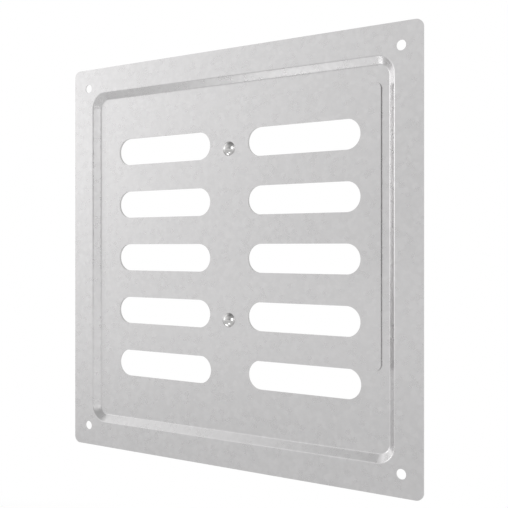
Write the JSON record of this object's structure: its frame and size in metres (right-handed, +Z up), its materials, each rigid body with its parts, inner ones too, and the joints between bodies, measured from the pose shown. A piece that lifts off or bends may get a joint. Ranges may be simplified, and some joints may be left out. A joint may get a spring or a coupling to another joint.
{
  "type": "slotted ventilation grille with a sliding shutter",
  "caption": "Square pressed steel ventilation grille with rows of round-ended slots and a flat shutter that slides to open or close them.",
  "frame": {"origin": "centre of the four fixing holes, in the back face of the flange", "axes": "+Z up along the shutter's travel, -Y out of the wall through the front face, +X to the right seen from the front"},
  "size_m": [0.2, 0.0061, 0.2],
  "materials": {
    "base_sheet": "galvanised sheet with a faint spangle",
    "shutter_sheet": "galvanised sheet with a faint spangle",
    "rivet_steel": "bright zinc plating",
    "washer_steel": "bright zinc plating"
  },
  "bodies": {
    "base": {"base_plate": "base_sheet"},
    "shutter": {"shutter_plate": "shutter_sheet", "rivet_upper": "rivet_steel", "rivet_lower": "rivet_steel", "washer_upper": "washer_steel", "washer_lower": "washer_steel"}
  },
  "joints": [
    {"name": "shutter_slide", "type": "slide", "parent": "base", "child": "shutter", "axis": [0, 0, -1], "range_m": [0, 0.0137]}
  ]
}
